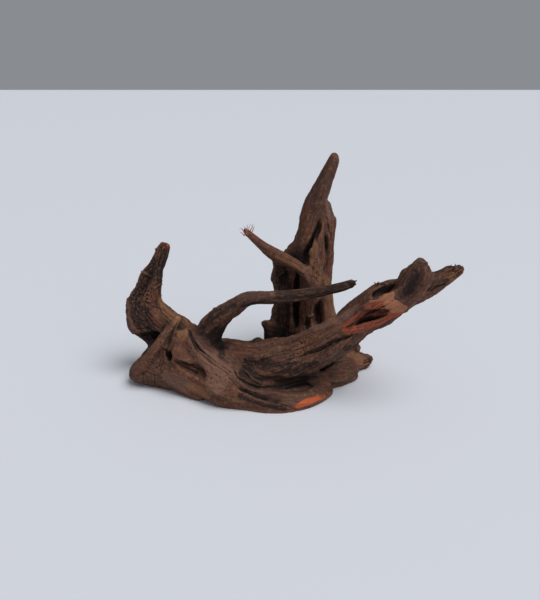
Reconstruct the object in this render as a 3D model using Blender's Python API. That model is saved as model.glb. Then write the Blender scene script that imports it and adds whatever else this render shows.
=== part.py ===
"""Corbo wood: one weathered piece of tropical root driftwood, as sold for aquariums.

A broad root foot rests flat on the ground. From it grow a split upright trunk with a thin twig,
a hollow-backed horn on the left, a long heavy limb rising to the right, and a slim arching root
between them. It all grew as one body, so it is one closed solid.

Every limb is a loft along its own line, with long grooves that follow its grain. The limbs are
made one skin, hollows and wide cracks are cut out of it, and it is thinned to few faces.
"""

import math

import bmesh
import bpy
from mathutils import Matrix, Vector, noise

MM = 0.001

# The skin: how finely the joined limbs and the cut wood are divided, how much each is worn smooth,
# and how many triangles are left before the ground is cut away.
SKIN_VOXEL = 1.7 * MM
SOFTEN_STEPS = 3
WORN_VOXEL = 1.5 * MM
WEAR_STEPS = 2
SMOOTHING = 0.5
TRIANGLES = 12400

# The lofts: the distance between two rings, and the sides of a ring.
RING_STEP = 3 * MM
LIMB_SIDES = 28
HOLLOW_SIDES = 12

# The grooves along the grain: their depth as a share of a limb's or a hollow's half width, how
# many lie round it, how long they are, and how far and how often they wander to the side.
LIMB_GROOVES = 0.15
HOLLOW_GROOVES = 0.14
GROOVE_RADIUS = 2.1
GROOVE_LENGTH = 55 * MM
RIB_HEIGHT = 3.2
GROOVE_FLOOR = 0.8
WANDER = 0.35
WANDER_LENGTH = 41 * MM
SEED_LETTERS = 97
SEED_STEP = 7.3

# Everything below the ground, which the wood rests on.
GROUND_SIZE = (500 * MM, 300 * MM, 60 * MM)

WOOD_COLOUR = (0.150, 0.080, 0.052, 1)
WOOD_ROUGHNESS = 0.86
SHARP_ANGLE = math.radians(55)

# A station is x to the right, y away from the viewer and z up, in millimetres, then half the
# width across the line as seen from the front, and half the depth from front to back.
LIMBS = {
    # the root foot
    "nose": [
        (-135, -20, 8, 3, 5),
        (-129, -19, 9, 10, 13),
        (-116, -16, 13, 15, 20),
        (-100, -12, 20, 24, 24),
        (-84, -6, 24, 30, 24),
        (-62, -2, 20, 26, 24),
    ],
    "mound": [
        (-90, -2, 38, 20, 14),
        (-82, -12, 28, 26, 22),
        (-62, -27, 17, 24, 26),
        (-36, -40, 8, 20, 27),
        (-6, -50, 3, 17, 23),
        (24, -49, 2, 14, 20),
        (46, -36, 1, 10, 15),
        (57, -31, 0, 6, 7),
    ],
    "brow": [
        (-120, -18, 11, 13, 13),
        (-100, -23, 14, 18, 15),
        (-80, -30, 14, 20, 18),
        (-56, -38, 10, 18, 18),
    ],
    "middle": [
        (-84, 8, 18, 22, 22),
        (-52, 6, 12, 20, 30),
        (-14, 0, 8, 18, 36),
        (24, 0, 8, 18, 44),
        (58, 4, 6, 17, 40),
        (84, 8, 4, 11, 24),
    ],
    "back": [
        (-76, 20, 6, 12, 12),
        (-40, 28, 6, 12, 16),
        (-4, 36, 3, 8, 20),
        (32, 44, 8, 20, 22),
        (62, 44, 6, 17, 18),
        (88, 36, 3, 9, 10),
    ],
    "fan": [
        (30, -22, 10, 16, 20),
        (54, -10, 9, 15, 25),
        (72, 8, 6, 13, 20),
        (86, 14, 6, 9, 16),
        (96, 16, 5, 6.5, 12),
        (104, 19, 7, 3.5, 7),
    ],
    "fan_nub": [
        (76, 14, 8, 10, 10),
        (83, 12, 17, 8, 8),
        (90, 10, 24, 4, 4),
    ],
    "back_nub": [
        (-9, 27, 4, 8, 8),
        (-12, 22, 18, 7, 6),
        (-12, 20, 28, 5.5, 4),
    ],
    # the horn on the left
    "horn": [
        (-72, 2, 24, 18, 14),
        (-92, 6, 36, 21.3, 16),
        (-111, 8, 50, 22.5, 17),
        (-121, 10, 64, 19, 16),
        (-117, 11, 80, 13, 13),
        (-113, 11, 94, 11.5, 11),
        (-106, 10, 108, 8, 8.5),
        (-101, 10, 120, 7, 8),
        (-98, 10, 127, 6, 6.5),
        (-97.5, 10, 130.5, 4.8, 4.8),
    ],
    "horn_flank": [
        (-113, 9, 84, 6, 7),
        (-110, 8, 68, 8, 8),
        (-99, 6, 50, 8, 9),
        (-84, 3, 37, 11, 12),
        (-62, 0, 30, 14, 14),
    ],
    "horn_knob": [
        (-113, 10, 92, 8, 8),
        (-119, 9, 99, 5, 5),
        (-122, 9, 101, 2.5, 3),
    ],
    "heel": [
        (-112, 8, 62, 12, 12),
        (-126, 6, 58, 12, 12),
        (-130, 3, 49, 8, 10),
        (-121, -2, 41, 6, 8),
        (-108, -5, 38, 6, 7),
    ],
    "rib": [
        (-128, -28, 16, 4, 5),
        (-119, -30, 23, 5.5, 6),
        (-111, -29, 32, 5, 7),
        (-105, -26, 40, 4.8, 7),
        (-99, -21, 47.5, 4.6, 7),
        (-93, -14, 54.5, 4.5, 7),
        (-87, -7, 60.5, 4, 5),
        (-85, -4, 63, 2, 3),
    ],
    # the slim arching root
    "arch": [
        (-54, -4, 12, 17, 15),
        (-61, -5, 32, 15, 12),
        (-57, -7, 50, 13, 10),
        (-46, -9, 64.5, 10.5, 9),
        (-32.5, -10, 74.5, 8.7, 8),
        (-20, -11, 83, 7.2, 7.5),
        (0, -12, 84.8, 6.3, 6.5),
        (24, -13, 86.8, 6, 6),
        (47.5, -14, 91.8, 5.3, 5.3),
        (64, -15, 95.8, 4.8, 4.8),
        (77.5, -16, 101, 3.8, 3.8),
    ],
    "arch_nub": [
        (-48, -8, 64, 6, 5),
        (-51, -8, 73, 2.5, 2.5),
    ],
    "arch_root_nub": [
        (-70, -5, 42, 6, 5),
        (-75, -4, 49, 2.5, 2.5),
    ],
    # the upright trunk
    "slab": [
        (34, 44, -4, 42, 22),
        (34.5, 44, 30, 37, 19),
        (35, 44, 60, 30, 16),
        (32, 44, 88, 28, 14),
        (40, 45, 112, 21, 13),
        (46.5, 46, 136, 14, 12),
        (51.5, 47, 150, 11, 10),
        (54, 48, 162, 5, 6),
    ],
    "spike": [
        (24, 37, 84, 12, 10),
        (26, 37, 100, 11, 10),
        (32.5, 38, 120, 10.5, 11),
        (38.5, 39, 136, 11, 11),
        (41.5, 40, 150, 11.5, 11),
        (44.5, 40, 163, 10, 10),
        (50.5, 40, 177, 8.6, 8.5),
        (56, 40, 191, 7, 7.2),
        (59.5, 40, 202, 6, 6),
        (60.5, 40, 208.5, 3.2, 3.5),
    ],
    "front_column": [
        (38, 26, -4, 15, 12),
        (38, 26, 30, 9.5, 9),
        (39, 26, 48, 7, 8),
        (39, 26, 66, 7.5, 8),
        (40, 26, 84, 9, 9),
        (43, 27, 104, 10, 9),
        (46, 29, 122, 7.5, 8),
        (48.5, 32, 136, 4.5, 6),
        (49.5, 35, 144, 2.5, 4),
    ],
    "right_column": [
        (61, 35, -4, 14, 12),
        (60, 35, 30, 10.5, 10),
        (58.5, 35, 47, 9, 9),
        (54, 35, 80, 8, 9),
        (56, 37, 104, 7, 8),
        (58, 38, 126, 5.5, 7),
        (60, 42, 148, 5.5, 6),
    ],
    "trunk_spur": [
        (8, 38, 30, 8, 7),
        (-1, 33, 36, 6, 5),
        (-7, 30, 40, 4, 3.5),
        (-7.5, 29, 41.5, 2.2, 2),
    ],
    "spur_foot": [
        (-4, 29.5, 35, 3, 3.5),
        (-2.5, 30, 28, 4.5, 5),
        (0, 32, 14, 8, 7),
    ],
    "twig": [
        (44, 25, 66, 6, 6),
        (41, 21, 82, 6, 6),
        (37, 19, 92, 5.4, 5.4),
        (28, 18, 104, 5.6, 6),
        (15, 17, 112, 6, 6),
        (3, 16, 118.5, 6.4, 6),
        (-8, 14, 127.3, 5, 4.8),
        (-17, 12, 136, 4.1, 4),
        (-25, 11, 143, 3.1, 3),
    ],
    "twig_web": [
        (10, 38, 84, 9, 9),
        (10, 29, 100, 7.5, 8),
        (6, 19, 114, 5, 5),
    ],
    # the heavy limb rising to the right
    "heavy_limb": [
        (-44, -8, 18, 20, 22),
        (-18, -23, 20, 21, 24),
        (9, -30, 27, 21, 22),
        (37, -34, 41, 19, 19),
        (62, -37, 59, 17, 18),
        (81, -39, 77.5, 16, 16),
        (98, -41, 92, 18, 16),
        (116, -43, 101.5, 14.5, 14),
        (131, -44, 107, 10.5, 11),
        (145, -45, 115, 7.6, 8),
        (155, -46, 121.5, 5.2, 6.5),
        (160.7, -46, 125.5, 3.6, 5),
    ],
    "shoulder": [
        (68, -35, 74, 5.5, 8),
        (83, -34, 89, 7.5, 9),
        (97, -34, 99, 7.5, 8),
        (110, -37, 101, 7, 8),
        (120, -41, 106, 5, 6),
    ],
    "knob": [
        (104, -44, 92, 14, 10),
        (116.5, -48, 106, 13.7, 10),
        (121.5, -50, 119, 13.2, 9.5),
        (123, -51, 127, 9.5, 8),
        (122, -51, 133, 4.5, 5),
        (121, -51, 135.5, 2, 2.5),
    ],
    "prong_ridge": [
        (126, -44, 108.5, 6, 7),
        (142, -45, 117.5, 4.6, 6),
        (151, -45, 124.5, 3.6, 4),
    ],
}

# Hollows and wide cracks, cut out of the joined limbs. Their stations are the same as a limb's.
HOLLOWS = {
    # the foot and the horn
    "under_heel": [
        (-142, -7, 37, 5, 6),
        (-128, -9, 37.5, 7.5, 10),
        (-113, -8, 40, 6.5, 9),
        (-100, 0, 45, 5, 6),
        (-92, 4, 49, 2, 3),
    ],
    "horn_face": [
        (-106, 1, 111, 2, 3),
        (-111.5, 0, 102, 5, 5),
        (-117, -2, 91, 6, 6),
        (-124, -3, 79, 6, 5),
        (-128, -4, 68, 3, 3),
    ],
    "knot_hole": [
        (-97, -46, 39, 3.5, 3.5),
        (-93, -34, 35.5, 4.2, 4.2),
        (-88, -22, 31, 3.2, 3.2),
        (-86, -16, 29, 1.5, 1.5),
    ],
    "rib_groove": [
        (-79, -11, 63, 1.5, 2),
        (-83, -19, 57, 2.4, 4),
        (-87, -25, 50.5, 2.6, 5),
        (-91, -30, 44, 2.6, 5),
        (-94, -34, 38, 2, 3),
    ],
    "mound_slot": [
        (-88, -41, 34, 1.5, 2),
        (-80, -43, 31, 3, 5),
        (-70, -46, 29, 4, 6),
        (-62, -50, 26, 4.5, 6),
        (-56, -52, 24, 1.5, 2),
    ],
    "mound_crack": [
        (-77, -8, 52, 3, 1.5),
        (-73, -18, 50, 5, 2.2),
        (-66, -32, 44.5, 5, 2.2),
        (-54, -41, 37.5, 4.5, 2),
        (-38, -49, 28, 4.5, 2),
        (-24, -61, 18.5, 4.5, 2),
        (-7, -67, 13, 4, 2),
        (14, -70, 8, 2, 1.5),
    ],
    "belly_fold": [
        (-31, -50, 27, 3, 2),
        (-22, -55, 22.5, 4, 2.5),
        (-12, -58, 19, 4, 3),
        (0, -58, 17.5, 3.5, 5),
        (12, -56, 17, 4.5, 9),
        (24, -52, 17, 5.5, 12),
        (34, -48, 16, 5, 11),
        (41, -45, 15, 2, 4),
    ],
    "side_cave": [
        (42, -42, 23, 1.5, 3),
        (50, -38, 27, 5, 12),
        (58, -36, 31, 6.5, 14),
        (66, -34, 34, 5, 10),
        (71, -33, 35, 2, 4),
    ],
    # the heavy limb
    "limb_crack": [
        (22, -50, 42, 1, 2),
        (32, -51, 46, 2, 4.5),
        (44.5, -52.5, 51.5, 2.2, 5),
        (55, -54, 59.5, 2.2, 5),
        (68, -55.5, 66.5, 1.8, 4),
        (77, -56, 71, 1, 2),
    ],
    "broken_hollow": [
        (61, -53, 71.5, 1, 2),
        (68, -54, 75.5, 3.5, 5),
        (76, -55, 80, 5.5, 8),
        (85, -55, 85, 6, 9),
        (94, -55, 88, 4, 7),
        (101, -55, 90, 1.5, 3),
    ],
    "upper_hollow": [
        (85, -50, 99, 1.5, 2),
        (92, -49, 103.5, 3.5, 6),
        (100, -49, 108, 4, 7),
        (106, -49, 112, 2, 3),
    ],
    "knob_face": [
        (103, -66, 92, 6, 6),
        (110, -67, 104, 12, 12),
        (117, -67, 116, 13, 12.5),
        (123, -66, 127, 9, 10),
        (126, -66, 134, 3, 4),
    ],
    "limb_back_groove": [
        (48, -16, 52, 2, 3),
        (66, -18, 68, 4, 6),
        (86, -21, 86, 4.5, 6),
        (104, -25, 100, 3, 5),
        (116, -29, 108, 1.5, 2),
    ],
    # the trunk
    "left_wall": [
        (14, 28, 98, 3, 3),
        (14, 25, 80, 8, 8),
        (14, 24, 60, 9, 9),
        (13, 25, 40, 8, 8),
        (11, 28, 26, 3, 3),
    ],
    "deep_slot": [
        (28, 24, 98, 2, 4),
        (27, 26, 88, 3.2, 11),
        (26.5, 27, 66, 3.4, 13),
        (26.5, 27, 46, 3.4, 12),
        (27, 26, 36, 2, 5),
    ],
    "column_gap": [
        (47.5, 24, 66, 1.5, 3),
        (47, 24, 58, 2.6, 9),
        (46.5, 24, 50, 3.4, 10),
        (48, 24, 42, 3, 9),
        (50, 24, 37, 1.5, 3),
    ],
    "column_foot": [
        (38.5, 18, 50, 1.5, 2),
        (38, 18, 43, 3, 4),
        (37, 18, 36, 2, 3),
    ],
    "fork_crack": [
        (49.5, 32, 149, 1, 2),
        (47, 30, 141, 2.2, 5),
        (43.5, 28, 133, 2.3, 6.5),
        (39, 27, 123.5, 2.3, 7),
        (34.5, 26, 113, 2.4, 7),
        (31, 25, 105, 1.5, 3),
    ],
    "column_crack": [
        (52.5, 29, 137, 1, 2),
        (53, 29, 128, 1.9, 5),
        (54, 29, 118, 1.9, 5),
        (54, 29, 111, 1, 2),
    ],
    "trunk_back": [
        (32, 61, 118, 2, 3),
        (33, 61, 96, 5, 6),
        (35, 63, 64, 7, 8),
        (36, 66, 32, 7, 8),
        (38, 68, 12, 3, 4),
    ],
    "horn_back": [
        (-102, 22, 86, 1.5, 3),
        (-106, 25, 68, 4, 6),
        (-108, 28, 48, 5, 7),
        (-102, 30, 28, 2, 3),
    ],
    # the sole, a shallow hollow under the foot
    "sole": [
        (-72, -8, 0, 2, 5),
        (-40, -8, 0, 6, 13),
        (0, -6, 0, 7, 18),
        (40, 4, 0, 6, 16),
        (72, 12, 0, 2, 6),
    ],
}

def clear_scene():
    for old in list(bpy.data.objects):
        bpy.data.objects.remove(old)


def smooth_line(stations):
    """The stations in metres, with more between them on a smooth curve (Catmull-Rom)."""
    ends = [stations[0], *stations, stations[-1]]
    line = []
    for before, a, b, after in zip(ends, ends[1:], ends[2:], ends[3:]):
        count = max(1, round(math.dist(a[:3], b[:3]) * MM / RING_STEP))
        for i in range(count):
            t = i / count
            line.append(
                [
                    0.5 * MM * (2 * q + (r - p) * t)
                    + 0.5 * MM * (2 * p - 5 * q + 4 * r - s) * t**2
                    + 0.5 * MM * (3 * q - p - 3 * r + s) * t**3
                    for p, q, r, s in zip(before, a, b, after)
                ]
            )
    line.append([value * MM for value in stations[-1]])
    return line


def grain_height(angle, along, seed):
    """Below 0 in a groove and up to about 1 on a rib. The grooves run along the limb and wander."""
    around = angle + WANDER * math.sin(along / WANDER_LENGTH + seed)
    place = (
        GROOVE_RADIUS * math.cos(around),
        GROOVE_RADIUS * math.sin(around),
        along / GROOVE_LENGTH + SEED_STEP * seed,
    )
    return RIB_HEIGHT * abs(noise.noise(Vector(place))) - GROOVE_FLOOR


def mesh_of(name, bm):
    mesh = bpy.data.meshes.new(name)
    bm.to_mesh(mesh)
    bm.free()
    return mesh


def loft(name, stations, sides, grooves):
    """A closed loft along the stations: its end face is extruded from ring to ring."""
    seed = sum(map(ord, name)) / SEED_LETTERS
    line = smooth_line(stations)
    points = [Vector(station[:3]) for station in line]
    bm = bmesh.new()
    bmesh.ops.create_circle(bm, cap_ends=True, segments=sides, radius=1)
    bm.faces.ensure_lookup_table()
    end = bm.faces[0]
    along = 0.0
    for i, (point, station) in enumerate(zip(points, line)):
        if i:
            along += (point - points[i - 1]).length
            made = bmesh.ops.extrude_face_region(bm, geom=[end])["geom"]
            if i > 1:
                bmesh.ops.delete(bm, geom=[end], context="FACES_ONLY")
            end = next(item for item in made if isinstance(item, bmesh.types.BMFace))
        ahead = (points[min(i + 1, len(points) - 1)] - points[max(i - 1, 0)]).normalized()
        across = Vector((0, 1, 0)).cross(ahead).normalized() * station[3]
        depth = ahead.cross(across).normalized() * station[4]
        for k, vert in enumerate(end.verts):
            angle = 2 * math.pi * k / sides
            swell = 1 + grooves * grain_height(angle, along, seed)
            vert.co = point + swell * (across * math.cos(angle) + depth * math.sin(angle))
    bmesh.ops.recalc_face_normals(bm, faces=bm.faces)
    return mesh_of(name, bm)


def joined_limbs():
    """All the limbs in one mesh. They still pass through each other."""
    whole = bmesh.new()
    for name, stations in LIMBS.items():
        whole.from_mesh(loft(name, stations, LIMB_SIDES, LIMB_GROOVES))
    return mesh_of("driftwood", whole)


def ground_block():
    """A block whose top is the surface that the wood rests on."""
    block = bmesh.new()
    bmesh.ops.create_cube(block, size=1)
    bmesh.ops.scale(block, vec=GROUND_SIZE, verts=block.verts)
    bmesh.ops.translate(block, vec=(0, 0, -GROUND_SIZE[2] / 2), verts=block.verts)
    return mesh_of("ground", block)


def new_object(mesh, collection):
    made = bpy.data.objects.new(mesh.name, mesh)
    collection.objects.link(made)
    return made


def new_cutter(mesh, collection):
    """A helper that cuts the wood. A render leaves it out."""
    made = new_object(mesh, collection)
    made.hide_render = True
    made.display_type = "WIRE"
    return made


def modify(made, name, kind, **settings):
    modifier = made.modifiers.new(name, kind)
    for key, value in settings.items():
        setattr(modifier, key, value)


def apply_modifiers(made):
    bpy.context.view_layer.update()
    seen = made.evaluated_get(bpy.context.evaluated_depsgraph_get())
    made.data = bpy.data.meshes.new_from_object(seen)
    made.modifiers.clear()


def cut_hollows(wood, hollows):
    """One skin over all the limbs, with the hollows cut out of it and the edges worn."""
    modify(wood, "one skin", "REMESH", mode="VOXEL", voxel_size=SKIN_VOXEL)
    modify(wood, "soften limbs", "SMOOTH", factor=SMOOTHING, iterations=SOFTEN_STEPS)
    modify(wood, "hollows", "BOOLEAN", operation="DIFFERENCE", operand_type="COLLECTION", collection=hollows)
    modify(wood, "worn skin", "REMESH", mode="VOXEL", voxel_size=WORN_VOXEL)
    modify(wood, "worn edges", "SMOOTH", factor=SMOOTHING, iterations=WEAR_STEPS)
    apply_modifiers(wood)


def flatten_sole(wood, ground):
    """Fewer faces, and a flat sole where the ground cuts the foot."""
    wood.data.calc_loop_triangles()
    modify(wood, "few faces", "DECIMATE", ratio=TRIANGLES / len(wood.data.loop_triangles))
    modify(wood, "flat sole", "BOOLEAN", operation="DIFFERENCE", object=ground)
    apply_modifiers(wood)


def centre_on_origin(mesh):
    """The origin is under the middle of the wood's box, on the surface that it rests on."""
    places = [vert.co for vert in mesh.vertices]
    middle = [(min(p[axis] for p in places) + max(p[axis] for p in places)) / 2 for axis in (0, 1)]
    mesh.transform(Matrix.Translation((-middle[0], -middle[1], 0)))


def wood_material():
    material = bpy.data.materials.new("corbo_wood")
    material.use_nodes = True
    shader = material.node_tree.nodes["Principled BSDF"]
    shader.inputs["Base Color"].default_value = WOOD_COLOUR
    shader.inputs["Roughness"].default_value = WOOD_ROUGHNESS
    shader.inputs["Metallic"].default_value = 0.0
    return material


def main():
    clear_scene()
    scene = bpy.context.scene.collection
    hollows = bpy.data.collections.new("hollows")
    scene.children.link(hollows)
    for name, stations in HOLLOWS.items():
        new_cutter(loft(name, stations, HOLLOW_SIDES, HOLLOW_GROOVES), hollows)
    ground = new_cutter(ground_block(), scene)

    wood = new_object(joined_limbs(), scene)
    cut_hollows(wood, hollows)
    flatten_sole(wood, ground)
    for helper in [*hollows.objects, ground]:
        bpy.data.objects.remove(helper)

    centre_on_origin(wood.data)
    wood.data.shade_smooth()
    wood.data.set_sharp_from_angle(angle=SHARP_ANGLE)
    wood.data.materials.append(wood_material())


main()
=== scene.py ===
"""Corbo wood: one weathered piece of root driftwood for an aquarium, dressed over its plain solid.

The whole wood grew as one body, so it is one piece here too. Its skin is made finer, worn along
the grain, cracked, pitted and broken where the real wood is, and then coloured.
"""

import math
import random

import bmesh
import bpy
import numpy as np
from mathutils import Matrix, Vector, noise
from mathutils.bvhtree import BVHTree
from mathutils.kdtree import KDTree


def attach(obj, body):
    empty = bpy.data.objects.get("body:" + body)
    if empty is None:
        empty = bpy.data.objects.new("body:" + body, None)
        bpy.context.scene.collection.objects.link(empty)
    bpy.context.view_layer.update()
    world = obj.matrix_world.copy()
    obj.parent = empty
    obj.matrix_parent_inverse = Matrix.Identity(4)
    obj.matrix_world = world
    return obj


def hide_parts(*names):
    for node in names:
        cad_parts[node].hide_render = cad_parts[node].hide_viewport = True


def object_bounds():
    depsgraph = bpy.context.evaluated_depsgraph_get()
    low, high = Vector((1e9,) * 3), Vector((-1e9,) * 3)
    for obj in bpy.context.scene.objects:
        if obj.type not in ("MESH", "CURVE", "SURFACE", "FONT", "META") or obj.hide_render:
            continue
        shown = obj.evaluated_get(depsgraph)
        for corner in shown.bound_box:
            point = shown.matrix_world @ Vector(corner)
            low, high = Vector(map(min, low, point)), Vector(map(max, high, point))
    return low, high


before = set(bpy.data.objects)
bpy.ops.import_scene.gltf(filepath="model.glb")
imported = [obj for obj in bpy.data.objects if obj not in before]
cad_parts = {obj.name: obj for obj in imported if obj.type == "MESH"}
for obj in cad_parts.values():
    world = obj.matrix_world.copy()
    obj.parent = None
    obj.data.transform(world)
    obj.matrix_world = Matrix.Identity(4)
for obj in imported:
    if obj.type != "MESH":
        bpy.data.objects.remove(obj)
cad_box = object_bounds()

MM = 0.001

# The view: the wood stands on the floor and is seen from the front, a little from above, through a
# short lens. Places that were read from the photograph are in the pixels of a 540 by 600 picture.
PICTURE_MIDDLE = (270, 300)
PICTURE_LONG_SIDE = 600
LENS = 32
SENSOR = 36
LENS_PIXELS = LENS / SENSOR * PICTURE_LONG_SIDE
LOOK_DOWN = math.radians(22)
EYE = Vector((-10.6, -463.8, 266)) * MM
NEAREST_SEEN = 10 * MM


def sight_line(x, y):
    """The direction in which the eye sees a pixel of the photograph."""
    across = Vector(((x - PICTURE_MIDDLE[0]) / LENS_PIXELS, 0, 0))
    ahead = Vector((0, math.cos(LOOK_DOWN), -math.sin(LOOK_DOWN)))
    up = Vector((0, math.sin(LOOK_DOWN), math.cos(LOOK_DOWN)))
    return (ahead + across - up * ((y - PICTURE_MIDDLE[1]) / LENS_PIXELS)).normalized()


camera = bpy.data.objects.new("camera", bpy.data.cameras.new("camera"))
camera.data.lens = LENS
camera.data.sensor_width = SENSOR
camera.data.clip_start = NEAREST_SEEN
camera.location = EYE
camera.rotation_euler = (math.pi / 2 - LOOK_DOWN, 0, 0)
bpy.context.scene.collection.objects.link(camera)
bpy.context.scene.camera = camera


# The body of the wood: dense brown root wood that grew as one piece. It has no parts to fix: this
# is the skin of the solid, rounded and divided finely enough to be worn, cracked and pitted.
SKIN_VOXEL = 0.86 * MM
ROUNDING_LEVELS = 1
ROUNDING_STEPS = 3
ROUNDING_SHARE = 0.5
MERGE = 0.01 * MM


def modified(name, mesh, steps):
    """A new mesh: the given one after the modifiers in steps, each a kind and its settings."""
    worked = bpy.data.objects.new(name, mesh)
    bpy.context.scene.collection.objects.link(worked)
    for kind, settings in steps:
        modifier = worked.modifiers.new(kind.lower(), kind)
        for key, value in settings.items():
            setattr(modifier, key, value)
    bpy.context.view_layer.update()
    seen = worked.evaluated_get(bpy.context.evaluated_depsgraph_get())
    result = bpy.data.meshes.new_from_object(seen)
    bpy.data.objects.remove(worked)
    return result


def merged_copy(node):
    """The node's loose triangles as one closed mesh."""
    bm = bmesh.new()
    bm.from_mesh(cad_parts[node].data)
    bmesh.ops.remove_doubles(bm, verts=bm.verts, dist=MERGE)
    mesh = bpy.data.meshes.new(node)
    bm.to_mesh(mesh)
    bm.free()
    return mesh


def places_of(mesh):
    places = np.empty(3 * len(mesh.vertices))
    mesh.vertices.foreach_get("co", places)
    return places.reshape(-1, 3)


def facing_of(mesh):
    facing = np.empty(3 * len(mesh.vertices))
    mesh.vertex_normals.foreach_get("vector", facing)
    return facing.reshape(-1, 3)


rough = merged_copy("driftwood")
skin = modified(
    "skin",
    rough,
    [
        ("SUBSURF", {"levels": ROUNDING_LEVELS, "render_levels": ROUNDING_LEVELS}),
        ("REMESH", {"mode": "VOXEL", "voxel_size": SKIN_VOXEL}),
        ("SMOOTH", {"factor": ROUNDING_SHARE, "iterations": ROUNDING_STEPS}),
    ],
)


# The grain: long fibres run along every limb and bend from one limb into the next. Each limb has a
# line that its fibres follow: x to the right, y away, z up and the limb's half width there, in mm.
GRAIN_LINES = {
    "nose": [
        (-146, -17, 8, 5), (-127, -13, 14, 15), (-111, -9, 20, 23), (-95, -3, 24, 27), (-73, 1, 20, 25),
    ],
    "mound": [
        (-101, 1, 38, 17), (-93, -9, 28, 24), (-73, -24, 17, 25), (-47, -37, 8, 22),
        (-17, -47, 3, 20), (13, -46, 2, 17), (35, -33, 1, 13), (47, -28, 0, 7),
    ],
    "middle": [
        (-95, 11, 18, 22), (-63, 9, 12, 26), (-25, 3, 8, 28), (13, 3, 8, 30), (47, 7, 6, 26),
        (73, 11, 4, 14),
    ],
    "back": [
        (-87, 23, 6, 12), (-51, 31, 6, 13), (-15, 39, 3, 13), (21, 47, 8, 21), (51, 47, 6, 17),
        (77, 39, 3, 9),
    ],
    "fan_high": [(33, -23, 18, 10), (60, -4, 15, 12), (92, 19, 10, 8)],
    "fan_low": [(33, -27, 12, 10), (52, -17, 8, 12), (76, 2, 5, 10)],
    "horn": [
        (-83, 5, 24, 16), (-103, 9, 36, 19), (-122, 11, 50, 20), (-132, 13, 64, 17), (-128, 14, 80, 13),
        (-124, 14, 94, 11), (-117, 13, 108, 8.5), (-112, 13, 120, 7.5), (-108, 13, 131, 5.5),
    ],
    "horn_flank": [
        (-124, 12, 84, 6), (-121, 11, 68, 8), (-110, 9, 50, 8.5), (-95, 6, 37, 11.5), (-73, 3, 30, 14),
    ],
    "heel": [(-123, 11, 62, 12), (-137, 9, 58, 12), (-141, 6, 49, 9), (-132, 1, 41, 7), (-119, -2, 38, 6)],
    "rib": [(-139, -25, 16, 4), (-122, -26, 32, 6), (-110, -18, 47, 6), (-98, -4, 60, 5), (-96, -1, 63, 3)],
    "arch": [
        (-65, -1, 12, 16), (-72, -2, 32, 14), (-68, -4, 50, 12), (-57, -6, 64.5, 10), (-43, -7, 74.5, 8.5),
        (-31, -8, 83, 7.3), (-11, -9, 85, 6.4), (13, -10, 87, 6), (37, -11, 92, 5.3), (67, -13, 101, 3.8),
    ],
    "trunk": [
        (24, 47, -4, 34), (24, 47, 60, 27), (22, 47, 88, 23), (29, 48, 112, 18), (36, 49, 136, 12),
        (43, 51, 162, 6),
    ],
    "spike": [
        (13, 40, 84, 11), (15, 40, 100, 11), (22, 41, 120, 10.5), (28, 42, 136, 11), (31, 43, 150, 11),
        (34, 43, 163, 10), (40, 43, 177, 8.6), (45, 43, 191, 7), (50, 43, 208, 4),
    ],
    "front_column": [
        (27, 29, -4, 13), (27, 29, 30, 9), (28, 29, 66, 8), (29, 29, 84, 9), (32, 30, 104, 9),
        (39, 38, 144, 4),
    ],
    "right_column": [
        (50, 38, -4, 12), (48, 38, 47, 9), (43, 38, 80, 9), (45, 40, 104, 8), (49, 45, 148, 5.5),
    ],
    "trunk_spur": [(-3, 41, 30, 7.5), (-12, 36, 36, 5), (-18, 32, 41.5, 2.5)],
    "twig": [
        (33, 28, 66, 6), (30, 24, 82, 6), (26, 22, 92, 5.4), (17, 21, 104, 5.8), (4, 20, 112, 6),
        (-8, 19, 118.5, 6.2), (-19, 17, 127, 5), (-28, 15, 136, 4), (-36, 14, 143, 3),
    ],
    "heavy_limb": [
        (-55, -5, 18, 20), (-29, -20, 20, 22), (-2, -27, 27, 21), (26, -31, 41, 19), (51, -34, 59, 17),
        (70, -36, 77.5, 16), (87, -38, 92, 17), (105, -40, 101, 14),
        (134, -42, 115, 7.7), (150, -43, 125, 4),
    ],
    "knob": [(93, -41, 92, 12), (105, -45, 106, 12), (111, -47, 119, 11.5), (111, -48, 133, 6)],
    "fan_nub": [(65, 17, 8, 10), (72, 15, 17, 8), (79, 13, 24, 4)],
    "back_nub": [(-20, 30, 4, 8), (-23, 25, 18, 6.5), (-23, 23, 28, 5)],
}
LINE_STEP = 9
LINE_SPACING = 500
GRAIN_MEETING = 6
TAPER = 0.5


def smooth_line(stations):
    """The stations of a line, with more between them on a smooth curve (Catmull-Rom)."""
    ends = np.array([stations[0], *stations, stations[-1]], float)
    line = []
    for p, q, r, s in zip(ends, ends[1:], ends[2:], ends[3:]):
        count = max(1, round(np.linalg.norm((r - q)[:3]) / LINE_STEP))
        for t in np.arange(count) / count:
            bend = 2 * p - 5 * q + 4 * r - s
            line.append(0.5 * (2 * q + (r - p) * t + bend * t**2 + (3 * q - p - 3 * r + s) * t**3))
    return np.array([*line, stations[-1]])


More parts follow.
